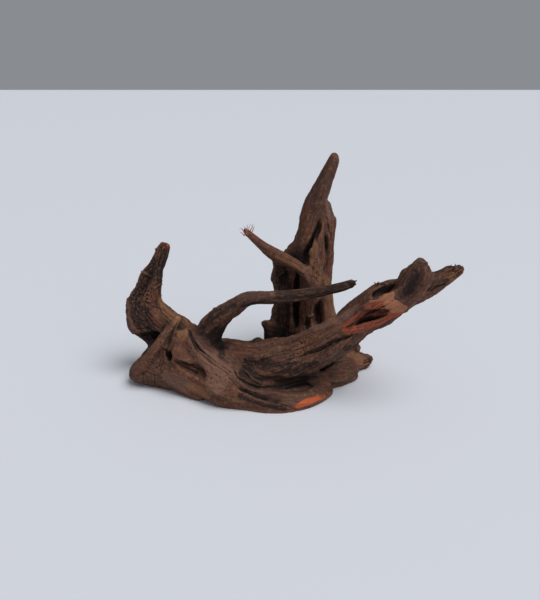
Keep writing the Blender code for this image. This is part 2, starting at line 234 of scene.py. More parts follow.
def beside(places, line):
    """Where each place lies by a line: how far outside the limb, then its place across, in depth
    and along the limb, and the limb's half width there, all in mm."""
    ahead = np.gradient(line[:, :3], axis=0)
    ahead /= np.linalg.norm(ahead, axis=1, keepdims=True)
    across = np.cross((0, 1, 0.001), ahead)
    across /= np.linalg.norm(across, axis=1, keepdims=True)
    depth = np.cross(ahead, across)
    best = np.full(len(places), np.inf)
    found = np.zeros((len(places), 4))
    along = 0
    for i, (a, b) in enumerate(zip(line, line[1:])):
        run = b[:3] - a[:3]
        length = np.linalg.norm(run)
        t = np.clip((places - a[:3]) @ run / length**2, 0, 1)
        away = places - a[:3] - t[:, None] * run
        radius = a[3] + t * (b[3] - a[3])
        outside = np.linalg.norm(away, axis=1) - radius
        nearer = outside < best
        t, away, radius = t[nearer, None], away[nearer], radius[nearer]
        best[nearer] = outside[nearer]
        found[nearer, 0] = (away * ((1 - t) * across[i] + t * across[i + 1])).sum(1)
        found[nearer, 1] = (away * ((1 - t) * depth[i] + t * depth[i + 1])).sum(1)
        found[nearer, 2] = along + t[:, 0] * length
        found[nearer, 3] = radius
        along += length
    found[:, 2] += ((places - line[-1, :3]) @ ahead[-1]).clip(0)
    found[:, 2] += ((places - line[0, :3]) @ ahead[0]).clip(None, 0)
    return best, found


def grain_of(places):
    """For every limb's line and every place: how far outside the limb it is, where it lies among
    that limb's fibres, and the limb's half width. Fibres draw closer as their limb tapers."""
    lines = [smooth_line(stations) for stations in GRAIN_LINES.values()]
    outside, fibres, half_width = [], [], []
    for number, line in enumerate(lines):
        best, found = beside(places / MM, line)
        found[:, :2] *= (line[:, 3].mean() / found[:, 3:]) ** TAPER
        found[:, 2] += LINE_SPACING * number
        outside.append(best)
        fibres.append(found[:, :3])
        half_width.append(found[:, 3])
    return np.array(outside), np.array(fibres), np.array(half_width)


# The relief: age and water wear the soft fibres away, and the hard ones stand out as ridges with
# narrow clefts between them. Each layer has its ridges' width, their length and its height, in mm.
# Lumps, which follow no grain, are given as the height for each width.
FLUTES = {"width": 7.5, "length": 75, "height": 0.95, "seed": 3.1}
BUNDLES = {"width": 3.4, "length": 32, "height": 0.5, "seed": 11.7}
FIBRES = {"width": 1.9, "length": 16, "height": 0.28, "seed": 29.3}
LUMPS = {13: 0.9, 5: 0.5, 2.4: 0.28}
THIN_LIMB = 13
THINNEST = 0.3
WORN_SMOOTH = {"mound": 0.5, "nose": 0.6, "middle": 0.8, "twig": 0.8}
SOLE_HEIGHT = 0.6 * MM
CLEFT_SHARPNESS = 2.2
CLEFT_DEPTH = 1.5


def noise_at(points):
    return np.array([noise.noise(point) for point in points.tolist()])


def along_grain(grain, layer):
    """Noise drawn out along the fibres. Where two limbs meet, it is blended from both."""
    own, other, share = grain
    size = np.array((layer["width"], layer["width"], layer["length"]))
    value = (1 - share) * noise_at(own / size + layer["seed"])
    meeting = share > 0
    value[meeting] += share[meeting] * noise_at(other[meeting] / size + layer["seed"])
    return value


def ridges(grain, layer):
    """Rounded ridges with sharp clefts between them, from -1 to about 0.5."""
    return CLEFT_DEPTH * np.sqrt(np.abs(along_grain(grain, layer)) * CLEFT_SHARPNESS).clip(0, 1) - 1


places = places_of(skin)
facing = facing_of(skin)
on_sole = places[:, 2] < SOLE_HEIGHT
outside, fibres, half_width = grain_of(places)
nearest, next_nearest = np.argsort(outside, axis=0)[:2]
every = np.arange(len(places))
gap = outside[next_nearest, every] - outside[nearest, every]
share = 0.5 * (1 - gap / GRAIN_MEETING).clip(0)
grain = fibres[nearest, every], fibres[next_nearest, every], share
wear = np.array([WORN_SMOOTH.get(name, 1) for name in GRAIN_LINES])
strength = (half_width[nearest, every] / THIN_LIMB).clip(THINNEST, 1)
strength *= (1 - share) * wear[nearest] + share * wear[next_nearest]
relief = sum(layer["height"] * ridges(grain, layer) for layer in (FLUTES, BUNDLES, FIBRES)) * strength
for width, height in LUMPS.items():
    relief += height * strength * noise_at(places / (width * MM))


# Cracks and holes: the wood split along its grain as it dried, and knots and borings rotted out.
# Each is a row of pixels with its half width there in mm, and the depth where it is widest, in mm.
CRACKS = {
    "fork": ([(320, 219, 0.9), (316, 232, 1.1), (311, 245, 1.2), (306, 256, 1.1), (303, 262, 0.9)], 2),
    "column": ([(325, 232, 1), (325.5, 242, 1.1), (324.5, 250, 1.1), (323.5, 258, 1)], 1.7),
    "slab": ([(325, 206, 1), (327, 221, 1), (330, 236, 1)], 1.1),
    "slab_edge": ([(331, 212, 1), (331.5, 226, 1), (331, 240, 1)], 1.1),
    "limb_start": ([(286, 359.5, 1), (299, 357, 1), (310, 353.5, 1.2)], 1.2),
    "limb": ([(299, 357, 0.9), (321, 350, 1.1), (333.5, 343, 1.2), (345, 338, 1.1), (357, 334, 0.9)], 1.9),
    "limb_top": ([(283, 352, 1), (300, 349, 1), (318, 341, 1)], 0.7),
    "mound_top": ([(188, 329, 0.9), (190, 334, 1.1), (194, 341, 1), (199, 349, 0.9)], 0.9),
    "mound": ([(199, 349, 1), (210, 357, 1.1), (221, 365, 1), (231, 372, 1)], 1.5),
    "slot": ([(174, 361, 0.9), (184, 367, 1), (192, 370, 1.5), (196, 372.5, 1.6), (200, 374, 0.9)], 1.5),
    "knot": ([(165, 350, 1.4), (167.5, 354, 2.2), (171, 358, 1.4)], 2.6),
    "rib_right": ([(178, 322, 1), (172, 335, 1.4), (169, 344, 1.3), (166, 352, 1)], 1.8),
    "rib_left": ([(165, 325, 1), (158, 338, 1), (150, 350, 1)], 1.1),
    "rib_foot": ([(163, 360, 1), (161, 366, 1), (160, 372, 1)], 1.1),
    "nose_left": ([(142, 372, 1), (143, 377, 1.2), (143, 384, 1)], 1.3),
    "nose_right": ([(154, 374, 1), (155, 380, 1.3), (153, 387, 1)], 1.4),
    "eye": ([(234, 370, 1), (238, 377, 1.5), (246, 383, 1.9), (256, 387.5, 1.5), (266, 388, 1)], 1.3),
    "belly": ([(262, 388, 1.1), (280, 386, 1.4), (295, 382, 1.5), (307, 379, 1)], 1.4),
    "lower": ([(238, 388, 1), (255, 397, 1.1), (273, 403, 1.1), (285, 405, 1), (297, 410, 1)], 0.8),
    "horn_line": ([(153, 266, 1), (148, 269, 1.2), (143, 272, 1)], 1.5),
    "heel_high": ([(134, 318, 1), (144, 321, 1), (155, 321, 1)], 1.1),
    "heel_low": ([(136, 329, 1), (146, 328, 1.1), (157, 333, 1)], 1.2),
    "heel_edge": ([(143, 336, 1), (151, 335, 1.1), (159, 338, 1)], 1.2),
    "break_lens": (
        [(356, 324.5, 1), (362, 321.5, 2.4), (369, 318.5, 3.4), (377, 317, 2.9), (386, 315, 1.2)],
        5.5,
    ),
    "break_line": ([(364, 315, 1), (374, 311, 1.2), (384, 307, 1.4)], 2.2),
    "upper_hollow": ([(373, 299, 1.2), (380, 296, 2.3), (387, 291, 2.5), (394, 285, 1.2)], 2.6),
    "under_limb": ([(318, 371, 1), (327, 366, 2.4), (335, 361, 2.9), (342, 358, 1.5)], 4),
    "belly_cave": ([(286, 388, 1.5), (297, 385, 2.7), (306, 383.5, 2.7), (313, 386, 1.2)], 3.6),
    "column_foot": ([(306, 318, 1.5), (306.5, 325, 1.8), (307, 330, 1.2)], 1.8),
    "prong": ([(431, 291, 1), (437, 287, 1.7), (445, 284, 1.4)], 1.7),
    "small_boring": ([(190.5, 348, 1.2)], 1.7),
    "nose_boring": ([(134.5, 370, 1)], 1.4),
    "limb_boring": ([(299.5, 341.5, 1.2), (302, 343, 1.2)], 1.8),
    "arch_boring": ([(219.5, 319.5, 1.3)], 1.3),
    "arch_nick": ([(244, 295, 1), (247, 292.5, 1)], 1),
    "spike_boring": ([(310, 210, 1)], 0.9),
    "twig_end": ([(243.5, 230, 2), (247, 228.5, 2.2)], 2),
}
RAISED = {
    "column_edge": ([(318, 230, 1.6), (315, 242, 2.4), (310, 254, 2.4)], 2),
    "horn_nub": ([(154, 288, 1.4), (158, 285, 2.2), (161, 284, 1.4)], 2),
    "horn_strand": ([(150, 286, 1.1), (146, 294, 1.5), (144, 300, 1.5), (150, 302, 1.1)], 1.6),
    "horn_knob": ([(137, 274, 1.8), (139.5, 271.5, 2.6), (146, 273, 1.8), (151, 276, 1.2)], 2.6),
    "horn_step": ([(155, 250, 1.6), (158, 248.5, 1.8)], 1.6),
    "horn_fibre": ([(156, 288, 1.1), (157, 300, 1.3), (160, 312, 1.3), (172, 325, 1.1)], 1.1),
    "horn_side_fibre": (
        [(160, 288, 1.1), (161, 298, 1.3), (167, 311, 1.4), (181, 322, 1.2), (190, 328, 1)],
        1,
    ),
    "arch_foot_nub": ([(193, 326, 1.6), (196, 324, 1.6)], 1.8),
    "arch_nub": ([(214, 309, 1.3), (218, 308, 1.7)], 1.4),
    "column_nub": ([(309, 317, 1.5), (312, 315, 1.9), (315, 313, 1.3)], 2.2),
    "break_upper_lip": (
        [(344, 327, 1.2), (356, 320, 1.5), (368, 311, 1.5), (380, 304, 1.5), (388, 302, 1.1)],
        1.3,
    ),
    "break_lower_lip": ([(347, 331, 1.2), (365, 328, 1.5), (380, 323, 1.5), (398, 315, 1.2)], 1.4),
    "slot_roof": ([(175, 357, 1.4), (186, 361, 2), (198, 367, 1.4)], 1.3),
    "eye_lid": ([(246, 371, 1.5), (252, 378, 1.9), (260, 383, 1.5)], 1.5),
    "knob_rim": ([(399, 284, 1.2), (408, 272, 1.4), (418, 261, 1.6), (427, 263, 1.2)], 1.1),
    "knob_side": ([(432, 274, 1.3), (430, 285, 1.5), (420, 298, 1.5), (410, 306, 1.2)], 1.3),
}
# Where rot and borers have made it porous: the middle pixel, how far it spreads in mm, how many
# pits, their smallest and largest radius and their depth in mm.
POROUS = {
    "horn_side": ((139, 290), 17, 75, (0.6, 1.6), 1.8),
    "horn_neck": ((153, 260), 9, 45, (0.7, 1.2), 1.2),
    "nose": ((150, 365), 24, 70, (0.6, 1.1), 1.1),
    "rib": ((168, 335), 12, 30, (0.6, 1.1), 1.1),
    "mound": ((215, 382), 42, 170, (0.6, 1), 0.9),
    "elbow": ((265, 365), 18, 50, (0.6, 1.1), 0.3),
    "limb": ((310, 345), 34, 80, (0.6, 1), 0.9),
    "column": ((318, 272), 16, 60, (0.6, 1), 1),
}
POROUS_SEED = 41
SPONGY_WIDTH = 3
SPONGY_SHARE = 1.4
# Where the wood is broken off short: the middle pixel, and how far the torn fibres reach, in mm.
BROKEN = {
    "horn": ((164, 246), 8),
    "prong": ((455, 268), 13),
    "twig": ((246, 233), 7),
    "fan": ((369, 362), 12),
    "arch": ((353, 283), 7),
}
TORN = {"width": 2.2, "length": 11, "height": 2.8, "seed": 53.9}
ON_WOOD_STEP = 1.1


def on_wood(pixels):
    """The row of pixels as the eye sees it on the wood: places on it, each with its half width."""
    marks = []
    for a, b in zip(pixels, pixels[1:] or pixels):
        count = max(1, round(math.dist(a[:2], b[:2]) / ON_WOOD_STEP))
        for t in np.arange(count + 1) / count:
            x, y, half_width = (1 - t) * np.array(a) + t * np.array(b)
            hit = rough_tree.ray_cast(EYE, sight_line(x, y))[0]
            if hit:
                marks.append((hit, half_width))
    return marks


def nearness(tree, count, marks):
    """For each place in the tree, 1 at a mark, falling smoothly to 0 at its half width."""
    near = np.zeros(count)
    for middle, half_width in marks:
        for _, number, distance in tree.find_range(middle, half_width * MM):
            near[number] = max(near[number], 1 - distance / (half_width * MM))
    return near * near * (3 - 2 * near)


def tree_of(places):
    tree = KDTree(len(places))
    for number, place in enumerate(places.tolist()):
        tree.insert(place, number)
    tree.balance()
    return tree


rough_tree = BVHTree.FromPolygons([v.co for v in rough.vertices], [p.vertices[:] for p in rough.polygons])
skin_tree = tree_of(places)
carved = np.zeros(len(places))
for row, depth in CRACKS.values():
    marks = on_wood(row)
    carved = np.maximum(carved, depth * nearness(skin_tree, len(places), marks))
raised = np.zeros(len(places))
for row, height in RAISED.values():
    raised = np.maximum(raised, height * nearness(skin_tree, len(places), on_wood(row)))
spongy = np.zeros(len(places))
draw = random.Random(POROUS_SEED)
for (x, y), spread, number, (smallest, largest), depth in POROUS.values():
    middle = rough_tree.ray_cast(EYE, sight_line(x, y))[0]
    close_by = sorted(skin_tree.find_range(middle, spread * MM), key=lambda found: found[1])
    pits = [(found[0], draw.uniform(smallest, largest)) for found in draw.sample(close_by, number)]
    carved = np.maximum(carved, depth * nearness(skin_tree, len(places), pits))
    spongy = np.maximum(spongy, depth * nearness(skin_tree, len(places), [(middle, spread)]))
torn = np.zeros(len(places))
for (x, y), reach in BROKEN.values():
    torn = np.maximum(torn, nearness(skin_tree, len(places), on_wood([(x, y, reach)])))
relief += torn * TORN["height"] * ridges(grain, TORN)
relief += raised - carved - SPONGY_SHARE * spongy * np.abs(noise_at(places / (SPONGY_WIDTH * MM)))
relief[on_sole] = 0
lowest, highest = map(np.array, cad_box)


def inside_box(places):
    """The places, kept inside the solid's box, so that the wood keeps its size and its flat sole."""
    return places.clip(lowest, highest)


places = inside_box(places + relief[:, None] * MM * facing)
places[on_sole, 2] = 0
skin.vertices.foreach_set("co", places.ravel())
skin.update()

FACES = 190_000
skin = modified(
    "driftwood_wood",
    skin,
    [("DECIMATE", {"ratio": FACES / (2 * len(skin.polygons)), "use_collapse_triangulate": True})],
)
places = inside_box(places_of(skin))
skin.vertices.foreach_set("co", places.ravel())
skin.update()
skin.shade_smooth()


# What the finish needs to know at each place: how sheltered it is, which is painted as shade, how
# sharply it stands out, how the fibres run there, where the fresh patches of the real wood lie, and
# where the pale and dark patches lie, which are partly the wood's own and partly painted highlight and
# painted shade.
SHELTER_RAYS = 12
SHELTER_NEAR = 5 * MM
SHELTER_FAR = 45 * MM
SHELTER_SEED = 7
SHELTER_SPREAD = 0.98
LIFT = 0.25 * MM
UNDERSIDE_SHARE = 0.42
CURVE_STEPS = 2
STAIN_FULLNESS = 1.7
STAINS = {
    "fresh": [
        [(345, 327, 4), (353, 322, 7), (362, 315, 9), (372, 308, 9), (382, 304.5, 6), (388, 303, 4)],
        [(346, 330, 5), (356, 330.5, 6), (367, 327, 6), (378, 323, 6.5), (390, 317.5, 6), (402, 311.5, 3.5)],
        [(354, 326, 5), (366, 320, 6), (380, 314, 5), (392, 311, 4)],
        [(299, 405, 3.4), (304, 403.5, 5), (310, 401, 5), (318, 398, 3.8), (325, 396, 2.4)],
        [(163, 247, 3.4), (167, 245.5, 4), (170, 247, 3)],
        [(243, 234, 3), (247, 232, 4), (250, 234, 3)],
    ],
    "glowing": [
        [(298, 406, 4.4), (304, 403.5, 5), (311, 400.5, 4.4), (319, 398, 3)],
        [(164, 247, 2.4), (168, 245.5, 2.8)],
    ],
    "chip": [
        [(391, 292, 5), (389, 298, 7), (390, 304, 8), (396, 308, 9), (403, 309, 6)],
        [(370, 301.5, 1.8), (380, 299.5, 2.4), (388, 298, 3.4)],
        [(176.5, 318, 2.2), (178, 316.5, 2.2)],
    ],
    "tan": [
        [(276, 256, 2.4), (292, 264, 3), (304, 271, 3)],
        [(160, 300, 5), (168, 314, 7), (184, 325, 8), (182, 338, 8)],
        [(350, 356, 9), (364, 360, 9)],
        [(330, 296, 6), (331, 308, 8), (333, 318, 7)],
        [(451, 277, 4), (458, 270, 4), (440, 287, 4)],
        [(190, 388, 8), (208, 393, 8)],
        [(312, 262, 5), (316, 246, 5)],
        [(309, 265, 7), (318, 273, 8), (327, 282, 8)],
        [(310, 238, 5), (314, 250, 5)],
    ],
    # Paler patches: partly paler worn wood, and partly painted highlight on the faces the light falls on
    # most: the trunk's front column, the tops of the mound and the heavy limb, and the horn's left rim.
    "pale_and_highlight": [
        [(326, 200, 5), (328, 214, 6), (331, 230, 4)],
        [(314, 256, 7), (318, 270, 10), (322, 284, 11)],
        [(310, 240, 6), (316, 250, 6)],
        [(328, 298, 8), (329, 310, 8), (330, 322, 7)],
        [(305, 268, 4), (309, 280, 4)],
        [(208, 358, 14), (222, 372, 18), (214, 386, 14)],
        [(138, 274, 2.4), (141, 271, 2.8), (146, 273, 2.4)],
        [(155, 287, 2.2), (159, 284, 2.6)],
        [(430, 284, 3), (426, 292, 3.4), (416, 302, 3.4), (408, 310, 3)],
        [(272, 293, 4), (284, 292, 4)],
        [(308, 317, 2.2), (314, 314, 2.2)],
        [(128, 303, 4), (128, 316, 4), (133, 327, 4)],
        [(168, 378, 11), (184, 384, 13)],
        [(300, 331, 7), (320, 325, 8), (340, 318, 8), (356, 306, 6)],
    ],
    # Dark patches: partly dark wood, and partly painted shade on the trunk's recessed left wall, in cracks
    # and hollows, under the arch, the heel and the heavy limb, and on the right faces of the horn and the
    # knob.
    "dark_stain_and_shade": [
        [(416, 273, 5), (412, 283, 7), (408, 293, 6)],
        [(131, 300, 6), (137, 293, 8), (143, 284, 7), (147, 277, 5)],
        [(168, 252, 7), (165, 262, 8), (162, 272, 8), (160, 284, 6)],
        [(262, 320, 6), (266, 336, 7)],
        [(150, 262, 6), (150, 276, 6)],
        [(164, 252, 5), (162, 262, 6.5), (158, 274, 7), (157, 283, 5)],
        [(150, 250, 5), (152, 262, 6)],
        [(134, 314, 7), (140, 322, 11), (149, 330, 12), (148, 342, 11), (145, 350, 8)],
        [(136, 306, 9), (146, 314, 10)],
        [(217, 330, 6), (220, 344, 6), (222, 356, 5)],
        [(281, 270, 10), (284, 290, 13), (284, 312, 14), (284, 332, 13)],
        [(362, 321.5, 2), (371, 318, 3.2), (384, 316, 2)],
        [(366, 314.5, 1.2), (384, 307.5, 1.4)],
        [(380, 296, 2.4), (387, 291, 2.8), (394, 285, 2)],
        [(272, 388, 3.4), (288, 387, 5), (303, 384, 6), (311, 387, 4)],
        [(322, 369, 4), (333, 362, 5), (341, 359, 4)],
        [(346, 348, 6), (358, 345, 5)],
        [(430, 290, 4), (440, 286, 5), (447, 281, 4)],
        [(168, 355, 2.8)], [(196, 372, 3.4)], [(306, 324, 3.4)],
        [(265, 330, 7), (255, 341, 8)],
        [(292, 295, 6), (310, 293, 8), (330, 290, 9), (346, 285, 9), (356, 282, 8)],
        [(212, 316, 7), (232, 307, 5), (250, 304, 4.4), (268, 302, 4), (292, 300, 4)],
        [(250, 362, 10), (246, 374, 11), (258, 380, 9)],
        [(262, 364, 9), (280, 368, 9), (300, 368, 9), (314, 364, 7)],
        [(240, 396, 4), (262, 403, 5), (284, 408, 5)],
        [(212, 318, 5), (204, 326, 5)],
    ],
    # Violet-brown patches: partly the wood's own purplish tone, and partly painted shade under the arch and
    # on the right faces of the horn and the knob.
    "violet_stain_and_shade": [
        [(200, 334, 10), (207, 345, 11), (212, 352, 8)],
        [(331, 321, 8), (342, 316, 8)],
        [(246, 386, 6), (262, 394, 6), (280, 399, 5)],
        [(225, 305, 8), (245, 297, 7), (270, 295, 7), (305, 293, 7), (345, 286, 7)],
        [(131, 371, 6)],
        [(160, 262, 9), (158, 276, 9)],
        [(421, 265, 7), (417, 272, 11), (412, 283, 13), (408, 293, 12), (404, 301, 7)],
        [(314, 184, 9), (312, 202, 9)],
    ],
}


def averaged(values, edges, steps):
    """The values, each drawn towards those of its neighbours, steps times."""
    count = len(values)
    neighbours = np.bincount(edges.ravel(), minlength=count)
    for _ in range(steps):
        total = np.bincount(edges[:, 0], values[edges[:, 1]], count)
        total += np.bincount(edges[:, 1], values[edges[:, 0]], count)
        values = (values + total) / (1 + neighbours)
    return values


def shelter_of(mesh, places, facing):
    """How much of the light is shut out at each place, by wood close by and by wood further off."""
    tree = BVHTree.FromPolygons(places.tolist(), [p.vertices[:] for p in mesh.polygons])
    draw = np.random.default_rng(SHELTER_SEED)
    rays = draw.normal(size=(SHELTER_RAYS, 3))
    rays /= np.linalg.norm(rays, axis=1, keepdims=True)
    starts = (places + LIFT * facing).tolist()
    near = np.zeros(len(places))
    far = np.zeros(len(places))
    for ray in rays:
        aims = facing + SHELTER_SPREAD * ray
        for number, (start, aim) in enumerate(zip(starts, aims.tolist())):
            distance = tree.ray_cast(start, aim, SHELTER_FAR)[3]
            if distance is not None:
                far[number] += 1 - distance / SHELTER_FAR
                near[number] += distance < SHELTER_NEAR
    return near / SHELTER_RAYS, far / SHELTER_RAYS


def keep(mesh, name, kind, domain, key, values):
    """Stores values on the mesh under a name that the material reads."""
    kept = mesh.attributes.new(name, kind, domain)
    kept.data.foreach_set(key, np.ascontiguousarray(values, dtype=np.float32).ravel())


facing = facing_of(skin)
edges = np.empty(2 * len(skin.edges), np.int32)
skin.edges.foreach_get("vertices", edges)
edges = edges.reshape(-1, 2)
near, far = shelter_of(skin, places, facing)
# Near ray hits mark narrow clefts, which the finish darkens as painted shade and dirt.
keep(skin, "cleft_dirt_and_shade", "FLOAT", "POINT", "value", averaged(near, edges, 1))
# The far ray hits and the faces that look down make the shelter mask: painted shade in hollows, under
# overhangs and on undersides, with some dirt.
underside = UNDERSIDE_SHARE * (-facing[:, 2]).clip(0)
keep(skin, "shelter_shade_and_dirt", "FLOAT", "POINT", "value", averaged(far + underside, edges, 2))
smoothed = np.column_stack([averaged(places[:, axis], edges, CURVE_STEPS) for axis in range(3)])
standing_out = ((places - smoothed) * facing).sum(1) / MM
keep(skin, "standing_out", "FLOAT", "POINT", "value", standing_out)
skin_tree = tree_of(places)
for name, rows in STAINS.items():
    stain = np.zeros(len(places))
    for row in rows:
        stain = np.maximum(stain, nearness(skin_tree, len(places), on_wood(row)))
    keep(skin, name, "FLOAT", "POINT", "value", (STAIN_FULLNESS * stain).clip(0, 1))

# Every corner of a face takes its fibres from the same two limbs, so that none is smeared.
outside, fibres, _ = grain_of(places)
corners = np.empty(len(skin.loops), np.int32)
skin.loops.foreach_get("vertex_index", corners)
nearest, next_nearest = np.argsort(outside, axis=0)[:2]
firsts = corners[::3].repeat(3)
own, other = nearest[firsts], next_nearest[firsts]
gap = outside[other, corners] - outside[own, corners]
keep(skin, "fibre", "FLOAT_VECTOR", "CORNER", "vector", fibres[own, corners])
keep(skin, "next_fibre", "FLOAT_VECTOR", "CORNER", "vector", fibres[other, corners])
keep(skin, "meeting", "FLOAT", "CORNER", "value", (0.5 * (1 - gap / GRAIN_MEETING)).clip(0, 1))

wood = bpy.data.objects.new("driftwood_wood", skin)
bpy.context.scene.collection.objects.link(wood)
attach(wood, "root")
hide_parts("driftwood")


class Value:
    """A varying number or colour in a material. Sums on numbers add Math nodes."""

    def __init__(self, finish, socket):
        self.finish = finish
        self.socket = socket

    def maths(self, operation, *inputs):
        return self.finish.node("ShaderNodeMath", {"operation": operation}, dict(enumerate(inputs)))

    def __add__(self, other):
        return self.maths("ADD", self, other)

    def __sub__(self, other):
        return self.maths("SUBTRACT", self, other)

    def __rsub__(self, other):
        return self.maths("SUBTRACT", other, self)

    def __mul__(self, other):
        return self.maths("MULTIPLY", self, other)

    __radd__ = __add__
    __rmul__ = __mul__

    def above(self, low, high):
        """0 below low, 1 above high and smooth between."""
        sockets = {"Value": self, "From Min": low, "From Max": high}
        return self.finish.node("ShaderNodeMapRange", {"interpolation_type": "SMOOTHSTEP"}, sockets)


class Finish:
    """A material that is made of nodes."""

    def __init__(self, name):
        self.material = bpy.data.materials.new(name)
        self.material.use_nodes = True
        self.tree = self.material.node_tree
        self.surface = self.tree.nodes["Principled BSDF"]

    def node(self, kind, settings, sockets, output=0):
        """One node: its settings are made first, then its sockets get their values or links."""
        node = self.tree.nodes.new(kind)
        for key, value in settings.items():
            setattr(node, key, value)
        self.fill(node, sockets)
        return Value(self, node.outputs[output])

    def fill(self, node, sockets):
        for key, value in sockets.items():
            if isinstance(value, Value):
                self.tree.links.new(value.socket, node.inputs[key])
            else:
                node.inputs[key].default_value = value

    def attribute(self, name, output="Fac"):
        return self.node("ShaderNodeAttribute", {"attribute_name": name}, {}, output)

    def mixed(self, share, first, second):
        """A colour between first and second, which are colours or values of colour."""
        sockets = {0: share, 6: first, 7: second}
        return self.node("ShaderNodeMix", {"data_type": "RGBA"}, sockets, 2)

    def noise(self, vector, scale, detail=3, roughness=0.55):
        sockets = {"Vector": vector, "Scale": scale, "Detail": detail, "Roughness": roughness}
        return self.node("ShaderNodeTexNoise", {}, sockets)

    def streaks(self, width, length, detail=2):
        """Noise drawn out along the fibres, with the width and length of a streak in mm."""
        values = []
        for name in ("fibre", "next_fibre"):
            sockets = {0: self.attribute(name, "Vector"), 1: (1 / width, 1 / width, 1 / length)}
            drawn_out = self.node("ShaderNodeVectorMath", {"operation": "MULTIPLY"}, sockets)
            values.append(self.noise(drawn_out, 1, detail))
        meeting = self.attribute("meeting")
        return values[0] * (1 - meeting) + values[1] * meeting


def colour(red, green, blue):
    """A colour as seen on a screen, from 0 to 255, as the linear one that a material needs."""
    return (*(((part / 255 + 0.055) / 1.055) ** 2.4 for part in (red, green, blue)), 1)


# The finish of the wood: dull, open-pored brown, streaked along the grain. Clefts, hollows and
# undersides are darkened with dirt and painted shade, lit faces are partly painted paler as highlight,
# worn ridges are paler, and fresh breaks show the orange heart.
DEEP_BROWN = colour(60, 35, 25)
BROWN = colour(93, 57, 42)
RED_BROWN = colour(110, 62, 46)
GREY_BROWN = colour(80, 56, 46)
OCHRE = colour(102, 67, 39)
STREAK_DARK = colour(46, 31, 25)
# A near-black brown: dirt in the pores, and painted shade in clefts, dips, hollows and undersides.
DIRT_AND_SHADE = colour(16, 11, 9)
RIDGE = colour(140, 99, 76)
ORANGE = colour(170, 76, 46)
ORANGE_PALE = colour(128, 68, 50)
TAN = colour(134, 92, 62)
PALE_AND_HIGHLIGHT = colour(126, 92, 78)
DARK_STAIN_AND_SHADE = colour(27, 17, 15)
VIOLET_STAIN_AND_SHADE = colour(68, 46, 43)
CHIP = colour(168, 110, 80)
GLOWING = colour(198, 90, 44)
BLOTCH = 26 * MM
PATCH = 9 * MM
SPECKLE = 3.2 * MM
GRIT = 1.3 * MM
# The width and length of a streak of each kind, in mm.
BROAD_STREAK = (5.5, 34)
STREAK = (1.8, 13)
HAIR = (0.9, 5)
PORE = (1.2, 2.6)
DULLNESS = 0.78
DULLNESS_CHANGE = 0.14
SHEEN = 0.32
BUMP_STRENGTH = 0.75
BUMP_DEPTH = 0.5 * MM

weathered = Finish("weathered_wood")
place = weathered.node("ShaderNodeTexCoord", {}, {}, "Object")
blotches = weathered.noise(place, 1 / BLOTCH)
patches = weathered.noise(place, 1 / PATCH)
grit = weathered.noise(place, 1 / GRIT, 4, 0.65)
speckle = weathered.noise(place, 1 / SPECKLE, 3, 0.6)
broad = weathered.streaks(*BROAD_STREAK)
streaks = weathered.streaks(*STREAK)
hairs = weathered.streaks(*HAIR)
pores = weathered.streaks(*PORE)
cleft_dirt_and_shade = weathered.attribute("cleft_dirt_and_shade")
shelter_shade_and_dirt = weathered.attribute("shelter_shade_and_dirt")
standing_out = weathered.attribute("standing_out")
ragged = (patches - 0.5) * 0.5 + (streaks - 0.5) * 0.7 + (grit - 0.5) * 0.35


def stained(name, low, high):
    """Where a stain, a painted highlight or a patch of painted shade lies, with an edge that is ragged along
    the grain.
    """
    fullness = weathered.attribute(name)
    return (fullness + ragged * fullness.above(0.02, 0.3)).above(low, high)


tone = weathered.mixed(blotches.above(0.38, 0.62), BROWN, GREY_BROWN)
tone = weathered.mixed(patches.above(0.45, 0.7) * 0.6, tone, RED_BROWN)
tone = weathered.mixed(broad.above(0.52, 0.72) * 0.55, tone, OCHRE)
tone = weathered.mixed(broad.above(0.5, 0.3) * 0.6, tone, DEEP_BROWN)
tone = weathered.mixed(speckle.above(0.56, 0.7) * 0.5, tone, RIDGE)
tone = weathered.mixed(speckle.above(0.46, 0.3) * 0.5, tone, DEEP_BROWN)
# The wood's violet-brown tone, and painted shade on faces turned from the light.
tone = weathered.mixed(stained("violet_stain_and_shade", 0.1, 1) * 0.6, tone, VIOLET_STAIN_AND_SHADE)
# Paler wood, and painted highlight on lit faces.
tone = weathered.mixed(stained("pale_and_highlight", 0.15, 1.1) * 0.65, tone, PALE_AND_HIGHLIGHT)
tone = weathered.mixed(stained("tan", 0.15, 1.1) * 0.75, tone, TAN)
heart = weathered.mixed((streaks * 0.6 + patches * 0.5).above(0.42, 0.66), ORANGE, ORANGE_PALE)
tone = weathered.mixed(stained("fresh", 0.3, 0.7) * 0.9, tone, heart)
tone = weathered.mixed(stained("glowing", 0.3, 1.05) * 0.8, tone, GLOWING)
tone = weathered.mixed(stained("chip", 0.35, 0.6) * 0.85, tone, CHIP)
# Dark wood, and painted shade in recesses, under overhangs and on faces turned from the light.
tone = weathered.mixed(stained("dark_stain_and_shade", 0.1, 0.9) * 0.85, tone, DARK_STAIN_AND_SHADE)
tone = weathered.mixed(streaks.above(0.5, 0.28) * 0.38, tone, STREAK_DARK)
tone = weathered.mixed(hairs.above(0.48, 0.28) * 0.36, tone, STREAK_DARK)
tone = weathered.mixed(hairs.above(0.54, 0.74) * 0.32, tone, RIDGE)
tone = weathered.mixed(pores.above(0.38, 0.26) * 0.5, tone, DIRT_AND_SHADE)
tone = weathered.mixed(standing_out.above(0.04, 0.3) * 0.3, tone, RIDGE)
# Where the surface dips in, it darkens: painted shade in creases, and dirt.
tone = weathered.mixed(standing_out.above(-0.06, -0.4) * 0.55, tone, DIRT_AND_SHADE)
# Painted shade and dirt in narrow clefts, where many rays hit wood close by.
tone = weathered.mixed(cleft_dirt_and_shade.above(0.25, 0.8) * 0.85, tone, DIRT_AND_SHADE)
